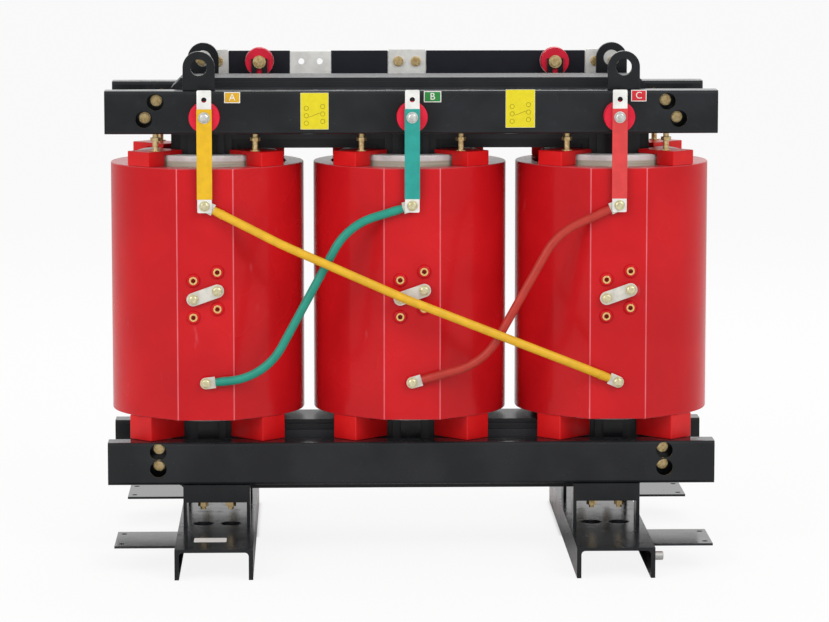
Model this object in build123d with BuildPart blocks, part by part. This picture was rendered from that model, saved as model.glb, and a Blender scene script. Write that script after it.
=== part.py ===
from build123d import *
from math import acos, atan2, cos, degrees, hypot, radians, sin, sqrt, tan
import os

# Three-phase cast-resin dry type transformer. Millimetres, +Z up.
# X runs along the row of phases, -Y is the high-voltage side and +Y the low-voltage side.
# The origin is on the floor, below the middle of the centre phase.

# Gap between neighbouring high-voltage windings
phase_gap = 21.0

# Clearances between pieces that meet without touching, and fits of bolts in their holes
slip = 0.3
bolt_clearance = 1.0

# M12 fasteners of the frame
frame_bolt_diameter = 12.0
frame_bolt_flats = 19.0
frame_head_height = 7.5
frame_nut_height = 10.0
frame_washer_radius = 12.0
frame_washer_thickness = 2.5
frame_bolt_tail = 6.0

# Skids: rolled channels, legs down, running front to back
skid_gauge = 820.0
skid_length = 900.0
skid_width = 160.0
skid_height = 63.0
skid_web = 6.5
skid_flange = 9.0
skid_access_hole = 44.0
skid_bolt_spacing = 58.0

# Anchor plates welded to the outer faces of the skids
anchor_reach = 126.0
anchor_width = 160.0
anchor_thickness = 5.0
anchor_drop = 7.0
anchor_spacing = 578.0
anchor_hole = 12.0
anchor_hole_spacing = 110.0
anchor_hole_margin = 14.0

# Earthing stud on the outer face of one skid
earth_stud_diameter = 18.0
earth_stud_length = 17.0
earth_stud_setback = 13.0
earth_stud_height = 44.0

# Pedestals: short channels, legs down, under each end of each lower clamp
pedestal_width = 140.0
pedestal_height = 57.0
pedestal_web = 7.0
pedestal_flange = 7.0
spacer_height = 30.0

# Clamps: rectangular tubes that squeeze the yokes
clamp_overhang = 133.5
clamp_height = 90.0
clamp_depth = 60.0
clamp_wall = 5.0
clamp_corner = 7.0
clamp_rise = 648.0
access_hole = 35.0

# Bolts that draw the front and rear clamps together
tie_bolt_clearance = 28.0
tie_bolt_shift = 24.0
tie_bolt_spacing = 36.0
upper_tie_bolt_rise = 4.0
lower_tie_bolt_rise = 7.0

# Core: stepped laminations, the same steps in the legs and the yokes
core_radius = 101.0
core_half_widths = (74.0, 66.0, 54.0, 38.0)
lower_yoke_rise = 2.0
upper_yoke_drop = 9.0
yoke_corner_cut = 22.0
yoke_pad_margin = 40.0
yoke_pad_thickness = 32.42
yoke_pad_height = 60.0

# Tie plates that hold the upper and lower clamps together along each leg
tie_plate_width = 42.0
tie_plate_thickness = 7.0

# Low-voltage windings
leg_duct = 11.0
lv_build = 38.0
lv_below_hv = 11.0
lv_above_hv = 22.0
lv_edge = 4.0

# High-voltage windings: cast resin, round, with a flat terminal face on tangent flanks
main_duct = 16.0
hv_build = 38.5
hv_face_rise = 7.5
hv_face_width = 118.0
hv_edge = 3.0

# Bosses, threaded inserts and tap link on the terminal face
boss_base_radius = 15.0
boss_tip_radius = 12.0
boss_height = 6.0
insert_radius = 8.5
insert_depth = 14.0
insert_proud = 1.5
tap_column_spacing = 50.0
tap_row_spacing = 38.5
tap_column_rise = 17.5
tap_rise = 1.5
upper_terminal_inset = 76.0
lower_terminal_inset = 80.0
tap_link_width = 28.0
tap_link_thickness = 4.0

# Support blocks between the windings and the clamps
block_angle = 44.0
block_width = 64.0
block_inner_overhang = 8.0
block_outer_inset = 2.5
lower_block_height = 51.0
upper_block_height = 31.0
upper_block_gap = 39.0

# Jacking screws that press on the upper blocks
jack_shift = 29.3
jack_inset = 12.0
jack_nut_drop = 10.0
jack_foot_radius = 11.0
jack_foot_height = 2.0
jack_tip_rise = 14.0

# High-voltage post insulators and terminal bars
hv_post_radius = 32.0
hv_post_waist = 24.0
hv_post_rim = 9.0
hv_post_tip_radius = 10.0
hv_post_tip_height = 2.0
hv_post_drop = 8.0
bar_width = 30.0
bar_thickness = 4.0
bar_rise = 4.0
bar_overhang = 14.0
bar_corner = 3.0
bar_hole_below_top = 20.0
sleeve_wall = 0.8
sleeve_window_radius = 12.0
sleeve_top_below_bar_top = 39.0
sleeve_bottom_above_terminal = 14.0

# Terminal bolts
bolt_shank = 9.0
bolt_head_flats = 17.0
bolt_head_height = 6.0
washer_radius = 11.0
washer_thickness = 2.0
bolt_engagement = 12.0

# Delta links between the windings: sleeved rods with flattened cable lugs
link_diameter = 18.0
lug_palm_reach = 20.0
lug_palm_width = 24.0
lug_palm_thickness = 3.0
lug_barrel_radius = 6.5
lug_barrel_length = 8.0

# Lifting lugs on the upper clamps
lug_offset = 12.0
lug_width = 67.0
lug_thickness = 14.0
lug_height = 81.0
lug_hole = 34.0
lug_setback = 16.0

# Neutral bar on the low-voltage side, its posts, brackets and sleeves
neutral_height = 50.0
neutral_thickness = 8.0
neutral_bar_rise = 34.0
neutral_post_inset = 109.0
neutral_post_radius = 30.5
neutral_post_waist = 24.0
neutral_post_rim = 9.0
neutral_post_length = 36.0
neutral_post_rise = 38.0
bracket_width = 35.0
bracket_thickness = 6.0
bracket_setback = 11.0
bracket_above_bolt = 7.0
bracket_slot_width = 12.0
bracket_slot_depth = 34.0
post_washer_radius = 14.0
post_bolt_length = 18.0
neutral_pad_offset = 5.0
neutral_pad_width = 90.0
neutral_pad_hole_spacing = 40.0
neutral_sleeve_wall = 1.2
neutral_sleeve_gap = 2.0

# Low-voltage leads
neutral_lead_width = 80.0
neutral_lead_thickness = 6.0
neutral_lead_inset = 12.0
neutral_lead_rise = 31.0
neutral_lead_above_bar = 4.0
neutral_lead_bend = 12.0
neutral_bolt_spacing = 38.0
neutral_bolt_rise = 3.0
phase_lead_width = 60.0
phase_lead_thickness = 8.0
phase_lead_inset = 9.0
phase_lead_rise = 12.0
phase_lead_clearance = 76.0
phase_lead_below_clamp_top = 18.0
phase_lead_bend = 8.0
phase_lead_hole_margin = 20.0
phase_lead_hole = 13.0
phase_lead_hole_spacing = 30.0

# Radii of the windings, from the core leg outwards, and the pitch of the phases
lv_inner_radius = core_radius + leg_duct
lv_outer_radius = lv_inner_radius + lv_build
hv_inner_radius = lv_outer_radius + main_duct
hv_outer_radius = hv_inner_radius + hv_build
hv_face_distance = hv_outer_radius + hv_face_rise
phase_pitch = 2 * hv_outer_radius + phase_gap
phases = {"a": -phase_pitch, "b": 0.0, "c": phase_pitch}

# Depths of the core and the clamps
core_half_depths = [sqrt(core_radius**2 - half**2) for half in core_half_widths]
core_half_thickness = core_half_depths[-1]
core_end = phase_pitch + core_half_widths[0]
clamp_length = 2 * (core_end + clamp_overhang)
clamp_inner_face = core_half_thickness + yoke_pad_thickness
clamp_outer_face = clamp_inner_face + clamp_depth
clamp_axis_y = clamp_inner_face + clamp_depth / 2

# Heights, from the floor upwards
pedestal_top = skid_height + pedestal_height
lower_clamp_bottom = pedestal_top + spacer_height
lower_clamp_top = lower_clamp_bottom + clamp_height
upper_clamp_bottom = lower_clamp_top + clamp_rise
upper_clamp_top = upper_clamp_bottom + clamp_height
lower_yoke_axis = lower_clamp_bottom + clamp_height / 2 + lower_yoke_rise
upper_yoke_axis = upper_clamp_bottom + clamp_height / 2 - upper_yoke_drop
hv_bottom = lower_clamp_top + lower_block_height
upper_block_top = upper_clamp_bottom - upper_block_gap
hv_top = upper_block_top - upper_block_height
lv_bottom = hv_bottom - lv_below_hv
lv_top = hv_top + lv_above_hv
terminal_top_height = hv_top - upper_terminal_inset
terminal_bottom_height = hv_bottom + lower_terminal_inset
tap_middle_height = (hv_bottom + hv_top) / 2 + tap_rise
hv_post_height = upper_clamp_bottom + clamp_height / 2 - hv_post_drop
bar_top = upper_clamp_top + bar_rise
bar_bottom = terminal_top_height - bar_overhang
sleeve_bottom = terminal_top_height + sleeve_bottom_above_terminal
sleeve_top = bar_top - sleeve_top_below_bar_top

# Fastener holes and the faces at which the terminals stack up
frame_hole_radius = frame_bolt_diameter / 2 + bolt_clearance
terminal_hole_radius = bolt_shank / 2 + bolt_clearance
boss_face = hv_face_distance + boss_height
terminal_face = boss_face + insert_proud
palm_front = terminal_face + lug_palm_thickness
bar_front = palm_front + bar_thickness
tap_link_front = terminal_face + tap_link_thickness

# Blocks, jacking screws, lifting lugs and the low-voltage side
block_inner_radius = lv_inner_radius - block_inner_overhang
block_outer_radius = hv_outer_radius - block_outer_inset
block_step_radius = (lv_outer_radius + hv_inner_radius) / 2
jack_y = clamp_inner_face + jack_inset
jack_x = jack_y * tan(radians(block_angle)) - jack_shift
lug_x = phase_pitch + lug_offset
neutral_axis_height = upper_clamp_top + neutral_bar_rise
neutral_post_height = upper_clamp_top + neutral_post_rise
neutral_post_x = phase_pitch - neutral_post_inset
neutral_post_start = clamp_outer_face - bracket_setback + bracket_thickness
neutral_bar_front = neutral_post_start + neutral_post_length
neutral_pad_x = -phase_pitch / 2 + neutral_pad_offset
neutral_length = 2 * phase_pitch + neutral_lead_width
neutral_lead_start = lv_inner_radius + neutral_lead_inset
neutral_lead_level = lv_top + neutral_lead_rise
phase_lead_start = lv_outer_radius - phase_lead_inset
phase_lead_level = lv_top + phase_lead_rise
phase_lead_reach = clamp_outer_face + phase_lead_clearance
phase_lead_top = upper_clamp_top - phase_lead_below_clamp_top
skid_centres = {"left": -skid_gauge / 2, "right": skid_gauge / 2}
sides = {"front": -1, "rear": 1}

os.makedirs("parts", exist_ok=True)


def save(piece, name):
    """Label a finished piece and write it to its own STEP file."""
    piece.label = name
    export_step(piece, f"parts/{name}.step")


def at_depth(y):
    """Return the upright plane at a given Y: its own x is X, its own y is Z, its normal is -Y."""
    return Plane.XZ.offset(-y)


def tie_bolt_points(bottom, rise, shift):
    """Return (x, z) of the tie bolts in a clamp: a pair at each end, the lower one further out by shift."""
    middle = bottom + clamp_height / 2 + rise
    bolt_x = core_end + tie_bolt_clearance
    points = []
    for side in (-1, 1):
        points.append((side * bolt_x, middle + tie_bolt_spacing / 2))
        points.append((side * (bolt_x + shift), middle - tie_bolt_spacing / 2))
    return points


def tap_points(centre):
    """Return (x, z) of the six tappings of a winding: three rows in two staggered columns."""
    points = []
    for side in (-1, 1):
        for row in (-1, 0, 1):
            x = centre + side * tap_column_spacing / 2
            points.append((x, tap_middle_height + row * tap_row_spacing + side * tap_column_rise / 2))
    return points


def terminal_points(centre):
    """Return (x, z) of the lower and the upper terminal of a winding."""
    return [(centre, terminal_bottom_height), (centre, terminal_top_height)]


lower_tie_points = tie_bolt_points(lower_clamp_bottom, lower_tie_bolt_rise, 0.0)
upper_tie_points = tie_bolt_points(upper_clamp_bottom, upper_tie_bolt_rise, tie_bolt_shift)


# Skids. Each is a channel with its legs down, with round access holes in the web below
# the pedestal bolts.
for side, centre in skid_centres.items():
    with BuildPart() as skid:
        with BuildSketch(Plane.XZ.offset(-skid_length / 2)):
            with Locations((centre, skid_height / 2)):
                Rectangle(skid_width, skid_height)
            with Locations((centre, (skid_height - skid_web) / 2)):
                Rectangle(skid_width - 2 * skid_flange, skid_height - skid_web, mode=Mode.SUBTRACT)
        extrude(amount=skid_length)
        inner_corners = (
            skid.edges()
            .filter_by(Axis.Y)
            .filter_by_position(Axis.Z, skid_height - skid_web - 0.1, skid_height - skid_web + 0.1)
        )
        fillet(inner_corners, radius=skid_flange * 0.9)
        with Locations((centre, 0, skid_height)):
            with GridLocations(skid_bolt_spacing, 2 * clamp_axis_y, 2, 2):
                Hole(skid_access_hole / 2, depth=2 * skid_web)
    save(skid.part, f"{side}_skid")

# Anchor plates. Two thin plates welded to the outer flange of each skid, with two holes
# near the outer end.
for side, centre in skid_centres.items():
    outward = 1 if centre > 0 else -1
    root_x = centre + outward * skid_width / 2
    plate_x = root_x + outward * anchor_reach / 2
    plate_top = skid_height - anchor_drop
    with BuildPart() as anchors:
        with BuildSketch(Plane.XY.offset(plate_top - anchor_thickness)):
            for y in (-anchor_spacing / 2, anchor_spacing / 2):
                with Locations((plate_x, y)):
                    Rectangle(anchor_reach, anchor_width)
                hole_x = root_x + outward * (anchor_reach - anchor_hole_margin)
                with Locations((hole_x, y)):
                    with GridLocations(1, anchor_hole_spacing, 1, 2):
                        Circle(anchor_hole / 2, mode=Mode.SUBTRACT)
        extrude(amount=anchor_thickness)
    save(anchors.part, f"{side}_anchor_plates")

# Earthing stud on the right-hand skid.
with BuildPart() as stud:
    stud_face = skid_gauge / 2 + skid_width / 2
    stud_plane = Plane(
        origin=(stud_face, -skid_length / 2 + earth_stud_setback, earth_stud_height),
        x_dir=(0, 1, 0),
        z_dir=(1, 0, 0),
    )
    with BuildSketch(stud_plane):
        Circle(earth_stud_diameter / 2)
    extrude(amount=earth_stud_length)
    chamfer(stud.faces().sort_by(Axis.X)[-1].edges(), length=1.5)
save(stud.part, "earth_stud")

# Pedestals. A short channel, legs down, stands on the skid under each clamp.
for side, centre in skid_centres.items():
    with BuildPart() as pedestals:
        for sign in sides.values():
            start = sign * clamp_axis_y - clamp_depth / 2
            with BuildSketch(Plane.XZ.offset(-start)):
                with Locations((centre, skid_height + pedestal_height / 2)):
                    Rectangle(pedestal_width, pedestal_height)
                with Locations((centre, skid_height + (pedestal_height - pedestal_web) / 2)):
                    Rectangle(
                        pedestal_width - 2 * pedestal_flange,
                        pedestal_height - pedestal_web,
                        mode=Mode.SUBTRACT,
                    )
            extrude(amount=-clamp_depth)
        with Locations((centre, 0, pedestal_top)):
            with GridLocations(skid_bolt_spacing, 2 * clamp_axis_y, 2, 2):
                Hole(frame_hole_radius, depth=2 * pedestal_web)
    save(pedestals.part, f"{side}_pedestals")

# Spacers. A solid block between each pedestal and its clamp.
for side, centre in skid_centres.items():
    with BuildPart() as spacers:
        with BuildSketch(Plane.XY.offset(pedestal_top)):
            for sign in sides.values():
                with Locations((centre, sign * clamp_axis_y)):
                    Rectangle(pedestal_width, clamp_depth)
            with Locations((centre, 0)):
                with GridLocations(skid_bolt_spacing, 2 * clamp_axis_y, 2, 2):
                    Circle(frame_hole_radius, mode=Mode.SUBTRACT)
        extrude(amount=spacer_height)
    save(spacers.part, f"{side}_spacers")

# Pedestal bolts. Head inside the clamp, nut and washer below the web of the pedestal.
with BuildPart() as pedestal_bolts:
    clamp_floor = lower_clamp_bottom + clamp_wall
    web_underside = pedestal_top - pedestal_web
    nut_underside = web_underside - frame_washer_thickness - frame_nut_height
    bolt_places = [
        (centre + step, sign * clamp_axis_y)
        for centre in skid_centres.values()
        for step in (-skid_bolt_spacing / 2, skid_bolt_spacing / 2)
        for sign in sides.values()
    ]
    with BuildSketch(Plane.XY.offset(nut_underside - frame_bolt_tail)):
        with Locations(*bolt_places):
            Circle(frame_bolt_diameter / 2)
    extrude(amount=clamp_floor - nut_underside + frame_bolt_tail)
    for start, height in ((clamp_floor, frame_head_height), (nut_underside, frame_nut_height)):
        with BuildSketch(Plane.XY.offset(start)):
            with Locations(*bolt_places):
                RegularPolygon(frame_bolt_flats / 2, 6, major_radius=False)
        extrude(amount=height)
    with BuildSketch(Plane.XY.offset(web_underside - frame_washer_thickness)):
        with Locations(*bolt_places):
            Circle(frame_washer_radius)
    extrude(amount=frame_washer_thickness)
save(pedestal_bolts.part, "pedestal_bolts")

# Clamps. Rectangular tubes in front of and behind each yoke. The tie bolts pass the inner
# wall, and a larger access hole in the outer wall lets a socket reach them.
clamp_levels = {
    "lower": (lower_clamp_bottom, lower_tie_points),
    "upper": (upper_clamp_bottom, upper_tie_points),
}
for level, (bottom, tie_points) in clamp_levels.items():
    for side, sign in sides.items():
        with BuildPart() as clamp:
            with BuildSketch(Plane.YZ.offset(-clamp_length / 2)):
                with Locations((sign * clamp_axis_y, bottom + clamp_height / 2)):
                    RectangleRounded(clamp_depth, clamp_height, clamp_corner)
                    RectangleRounded(
                        clamp_depth - 2 * clamp_wall,
                        clamp_height - 2 * clamp_wall,
                        clamp_corner - clamp_wall,
                        mode=Mode.SUBTRACT,
                    )
            extrude(amount=clamp_length)
            with BuildSketch(at_depth(sign * clamp_outer_face)):
                with Locations(*tie_points):
                    Circle(access_hole / 2)
            extrude(amount=sign * clamp_depth / 2, mode=Mode.SUBTRACT)
            with BuildSketch(at_depth(sign * clamp_inner_face)):
                with Locations(*tie_points):
                    Circle(frame_hole_radius)
            extrude(amount=-sign * clamp_depth / 2, mode=Mode.SUBTRACT)
            with BuildSketch(Plane.XY.offset(bottom)):
                if level == "lower":
                    for centre in skid_centres.values():
                        with Locations((centre, sign * clamp_axis_y)):
                            with GridLocations(skid_bolt_spacing, 1, 2, 1):
                                Circle(frame_hole_radius)
                else:
                    for centre in phases.values():
                        with Locations((centre, sign * jack_y)):
                            with GridLocations(2 * jack_x, 1, 2, 1):
                                Circle(frame_bolt_diameter / 2 + slip)
            extrude(amount=clamp_height / 2, mode=Mode.SUBTRACT)
        save(clamp.part, f"{level}_{side}_clamp")

# Tie bolts. They draw the front and rear clamps together beyond the ends of the yokes.
with BuildPart() as tie_bolts:
    tie_points = lower_tie_points + upper_tie_points
    seat = clamp_inner_face + clamp_wall
    head_seat = seat + frame_washer_thickness
    with BuildSketch(at_depth(-seat)):
        with Locations(*tie_points):
            Circle(frame_bolt_diameter / 2)
    extrude(amount=-(seat + head_seat + frame_nut_height + frame_bolt_tail))
    for start, amount in ((-seat, frame_washer_thickness), (seat, -frame_washer_thickness)):
        with BuildSketch(at_depth(start)):
            with Locations(*tie_points):
                Circle(frame_washer_radius)
        extrude(amount=amount)
    for start, amount in ((-head_seat, frame_head_height), (head_seat, -frame_nut_height)):
        with BuildSketch(at_depth(start)):
            with Locations(*tie_points):
                RegularPolygon(frame_bolt_flats / 2, 6, major_radius=False)
        extrude(amount=amount)
save(tie_bolts.part, "clamp_tie_bolts")

# Core. Stacks of four lamination widths give legs and yokes a near-round section. The upper
# yoke is laid in last, so it is a piece of its own. All outer corners are cut at 45 degrees.
with BuildPart() as upper_yoke:
    for half_width, half_depth in zip(core_half_widths, core_half_depths):
        with BuildSketch(at_depth(0)):
            with Locations((0, upper_yoke_axis)):
                Rectangle(2 * (phase_pitch + half_width), 2 * half_width)
        extrude(amount=half_depth, both=True)
    top = upper_yoke_axis + core_half_widths[0]
    with BuildSketch(at_depth(0)):
        for side in (-1, 1):
            with BuildLine():
                Polyline(
                    (side * core_end, top),
                    (side * (core_end - yoke_corner_cut), top),
                    (side * core_end, top - yoke_corner_cut),
                    close=True,
                )
            make_face()
    extrude(amount=core_radius, both=True, mode=Mode.SUBTRACT)
save(upper_yoke.part, "upper_yoke")

with BuildPart() as core:
    for half_width, half_depth in zip(core_half_widths, core_half_depths):
        with BuildSketch(at_depth(0)):
            with Locations((0, lower_yoke_axis)):
                Rectangle(2 * (phase_pitch + half_width), 2 * half_width)
            with Locations((0, (lower_yoke_axis + upper_yoke_axis) / 2)):
                with GridLocations(phase_pitch, 1, 3, 1):
                    Rectangle(2 * half_width, upper_yoke_axis - lower_yoke_axis)
        extrude(amount=half_depth, both=True)
    bottom = lower_yoke_axis - core_half_widths[0]
    with BuildSketch(at_depth(0)):
        for side in (-1, 1):
            with BuildLine():
                Polyline(
                    (side * core_end, bottom),
                    (side * (core_end - yoke_corner_cut), bottom),
                    (side * core_end, bottom + yoke_corner_cut),
                    close=True,
                )
            make_face()
    extrude(amount=core_radius, both=True, mode=Mode.SUBTRACT)
    for half_width, half_depth in zip(core_half_widths, core_half_depths):
        with BuildSketch(at_depth(0)):
            with Locations((0, upper_yoke_axis)):
                Rectangle(2 * (phase_pitch + half_width), 2 * half_width)
        extrude(amount=half_depth, both=True, mode=Mode.SUBTRACT)
save(core.part, "core_legs_and_lower_yoke")

# Yoke pads. Boards between the yokes and the clamps, in the two windows, front and rear.
for level, axis_height in (("lower", lower_yoke_axis), ("upper", upper_yoke_axis)):
    with BuildPart() as pads:
        for sign in sides.values():
            with BuildSketch(at_depth(sign * core_half_thickness)):
                with Locations((0, axis_height)):
                    with GridLocations(phase_pitch, 1, 2, 1):
                        Rectangle(phase_pitch - 2 * yoke_pad_margin, yoke_pad_height)
            extrude(amount=-sign * (clamp_inner_face - core_half_thickness))
    save(pads.part, f"{level}_yoke_pads")

# Tie plates. A flat strip lies on each leg, with a thick end block under each clamp.
for side, sign in sides.items():
    with BuildPart() as tie_plates:
        with BuildSketch(at_depth(sign * core_half_thickness)):
            with Locations((0, (lower_yoke_axis + upper_yoke_axis) / 2)):
                with GridLocations(phase_pitch, 1, 3, 1):
                    Rectangle(tie_plate_width, upper_yoke_axis - lower_yoke_axis + yoke_pad_height)
        extrude(amount=-sign * tie_plate_thickness)
        with BuildSketch(at_depth(sign * core_half_thickness)):
            for axis_height in (lower_yoke_axis, upper_yoke_axis):
                with Locations((0, axis_height)):
                    with GridLocations(phase_pitch, 1, 3, 1):
                        Rectangle(tie_plate_width, yoke_pad_height)
        extrude(amount=-sign * (clamp_inner_face - core_half_thickness))
    save(tie_plates.part, f"{side}_tie_plates")

# Low-voltage windings. Foil wound on a cylinder, closed by resin at both ends.
for phase, centre in phases.items():
    with BuildPart() as lv_coil:
        with BuildSketch(Plane.XY.offset(lv_bottom)):
            with Locations((centre, 0)):
                Circle(lv_outer_radius)
                Circle(lv_inner_radius, mode=Mode.SUBTRACT)
        extrude(amount=lv_top - lv_bottom)
        fillet(lv_coil.edges().filter_by(GeomType.CIRCLE), radius=lv_edge)
    save(lv_coil.part, f"lv_coil_{phase}")

# High-voltage windings. Each is one resin casting: a round body whose front swells on two
# tangent flanks to a flat terminal face, with tapered bosses around the threaded inserts.
face_half_width = hv_face_width / 2
corner_reach = hypot(face_half_width, hv_face_distance)
tangent_angle = atan2(-hv_face_distance, face_half_width) + acos(hv_outer_radius / corner_reach)
tangent_x = hv_outer_radius * cos(tangent_angle)
tangent_y = hv_outer_radius * sin(tangent_angle)
boss_draft = degrees(atan2(boss_base_radius - boss_tip_radius, boss_height))
for phase, centre in phases.items():
    boss_places = tap_points(centre) + terminal_points(centre)
    with BuildPart() as hv_coil:
        with BuildSketch(Plane.XY.offset(hv_bottom)):
            with BuildLine():
                Polyline(
                    (centre - tangent_x, tangent_y),
                    (centre - face_half_width, -hv_face_distance),
                    (centre + face_half_width, -hv_face_distance),
                    (centre + tangent_x, tangent_y),
                )
                ThreePointArc(
                    (centre + tangent_x, tangent_y),
                    (centre, hv_outer_radius),
                    (centre - tangent_x, tangent_y),
                )
            make_face()
            with Locations((centre, 0)):
                Circle(hv_inner_radius, mode=Mode.SUBTRACT)
        extrude(amount=hv_top - hv_bottom)
        end_edges = hv_coil.edges().group_by(Axis.Z)
        fillet(end_edges[0] + end_edges[-1], radius=hv_edge)
        with BuildSketch(at_depth(-hv_face_distance)):
            with Locations(*boss_places):
                Circle(boss_base_radius)
        extrude(amount=boss_height, taper=boss_draft)
        with BuildSketch(at_depth(-boss_face)):
            with Locations(*boss_places):
                Circle(insert_radius)
        extrude(amount=-insert_depth, mode=Mode.SUBTRACT)
    save(hv_coil.part, f"hv_coil_{phase}")

# Threaded inserts. Brass sleeves cast into the bosses, standing slightly proud of them.
with BuildPart() as inserts:
    with BuildSketch(at_depth(-terminal_face)):
        for centre in phases.values():
            with Locations(*tap_points(centre), *terminal_points(centre)):
                Circle(insert_radius)
                Circle(bolt_shank / 2 + slip, mode=Mode.SUBTRACT)
    extrude(amount=-(insert_proud + insert_depth))
save(inserts.part, "terminal_inserts")

# Tap links. A strip with round ends joins the two middle tappings of each winding.
with BuildPart() as tap_links:
    with BuildSketch(at_depth(-terminal_face)):
        with Locations(*[(centre, tap_middle_height) for centre in phases.values()]):
            tap_distance = hypot(tap_column_spacing, tap_column_rise)
            tap_slope = degrees(atan2(tap_column_rise, tap_column_spacing))
            SlotCenterToCenter(tap_distance, tap_link_width, rotation=tap_slope)
        for centre in phases.values():
            with Locations(*tap_points(centre)[1::3]):
                Circle(terminal_hole_radius, mode=Mode.SUBTRACT)
    extrude(amount=tap_link_thickness)
save(tap_links.part, "tap_links")

# Support blocks. Four under and four over each winding, with a step between the ends of the
# low-voltage and the high-voltage winding. The lower ones are notched over the yoke.
block_levels = {
    "lower": (lower_clamp_top, hv_bottom, lv_bottom),
    "upper": (upper_block_top, hv_top, lv_top),
}
for level, (outer_end, hv_end, lv_end) in block_levels.items():
    for phase, centre in phases.items():
        with BuildPart() as blocks:
            for angle in (block_angle, 180 - block_angle, 180 + block_angle, -block_angle):
                with BuildSketch(Plane.XY.offset(outer_end)):
                    with Locations(Location((centre, 0), 90 - angle)):
                        with Locations(((block_inner_radius + block_outer_radius) / 2, 0)):
                            Rectangle(block_outer_radius - block_inner_radius, block_width)
                extrude(amount=hv_end - outer_end)
            with BuildSketch(Plane.XY.offset(lv_end)):
                with Locations((centre, 0)):
                    Circle(block_step_radius)
            extrude(amount=hv_end - lv_end, mode=Mode.SUBTRACT)
            if level == "lower":
                notch_half_depth = core_half_thickness + slip
                notch_top = lower_yoke_axis + core_half_widths[0] + slip
                with BuildSketch(at_depth(0)):
                    with Locations((centre, notch_top)):
                        Rectangle(
                            2 * block_outer_radius,
                            notch_top - lower_clamp_top,
                            align=(Align.CENTER, Align.MAX),
                        )
                extrude(amount=notch_half_depth, both=True, mode=Mode.SUBTRACT)
        save(blocks.part, f"{level}_blocks_{phase}")

# Jacking screws. A foot presses on each upper block, and a nut locks the screw in the clamp.
with BuildPart() as jacks:
    jack_places = [
        (centre + step, sign * jack_y)
        for centre in phases.values()
        for step in (-jack_x, jack_x)
        for sign in sides.values()
    ]
    jack_nut_top = upper_clamp_bottom - jack_nut_drop
    jack_tip = upper_clamp_bottom + jack_tip_rise
    with BuildSketch(Plane.XY.offset(upper_block_top)):
        with Locations(*jack_places):
            Circle(frame_bolt_diameter / 2)
    extrude(amount=jack_tip - upper_block_top)
    with BuildSketch(Plane.XY.offset(upper_block_top)):
        with Locations(*jack_places):
            Circle(jack_foot_radius)
    extrude(amount=jack_foot_height)
    with BuildSketch(Plane.XY.offset(jack_nut_top)):
        with Locations(*jack_places):
            RegularPolygon(frame_bolt_flats / 2, 6, major_radius=False)
    extrude(amount=-frame_head_height)
save(jacks.part, "jacking_screws")

# High-voltage post insulators. Waisted resin posts on the upper front clamp, each with a
# metal tip that carries the terminal bar.
with BuildPart() as hv_posts:
    for centre in phases.values():
        rim_start = palm_front - hv_post_tip_height
        shank_bore = bolt_shank / 2 + slip
        bore_end = palm_front - bolt_engagement - slip
        with BuildSketch(Plane.XY.offset(hv_post_height)):
            with BuildLine():
                Polyline(
                    (centre, -clamp_outer_face),
                    (centre + hv_post_radius, -clamp_outer_face),
                    (centre + hv_post_radius, -clamp_outer_face - hv_post_rim),
                    (centre + hv_post_waist, -(clamp_outer_face + rim_start) / 2),
                    (centre + hv_post_radius, -rim_start + hv_post_rim),
                    (centre + hv_post_radius, -rim_start),
                    (centre + hv_post_tip_radius, -rim_start),
                    (centre + hv_post_tip_radius, -palm_front),
                    (centre + shank_bore, -palm_front),
                    (centre + shank_bore, -bore_end),
                    (centre, -bore_end),
                    close=True,
                )
            make_face()
        revolve(axis=Axis((centre, 0, hv_post_height), (0, 1, 0)))
save(hv_posts.part, "hv_post_insulators")

# Terminal bars. A flat bar runs from each upper terminal over its post to a bare end with a
# hole for the incoming cable.
with BuildPart() as hv_bars:
    with BuildSketch(at_depth(-palm_front)):
        for centre in phases.values():
            with Locations((centre, (bar_bottom + bar_top) / 2)):
                RectangleRounded(bar_width, bar_top - bar_bottom, bar_corner)
            for height in (terminal_top_height, hv_post_height, bar_top - bar_hole_below_top):
                with Locations((centre, height)):
                    Circle(terminal_hole_radius, mode=Mode.SUBTRACT)
    extrude(amount=bar_thickness)
save(hv_bars.part, "hv_bars")

# Bar sleeves. Coloured insulation around the middle of each bar, open at the post bolt.
for phase, centre in phases.items():
    with BuildPart() as bar_sleeve:
        with BuildSketch(Plane.XY.offset(sleeve_bottom)):
            with Locations((centre, -(palm_front + bar_front) / 2)):
                Rectangle(bar_width + 2 * sleeve_wall, bar_thickness + 2 * sleeve_wall)
                Rectangle(bar_width, bar_thickness, mode=Mode.SUBTRACT)
        extrude(amount=sleeve_top - sleeve_bottom)
        with BuildSketch(at_depth(-palm_front + bar_thickness)):
            with Locations((centre, hv_post_height)):
                Circle(sleeve_window_radius)
        extrude(amount=3 * bar_thickness, mode=Mode.SUBTRACT)
    save(bar_sleeve.part, f"bar_sleeve_{phase}")

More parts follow.
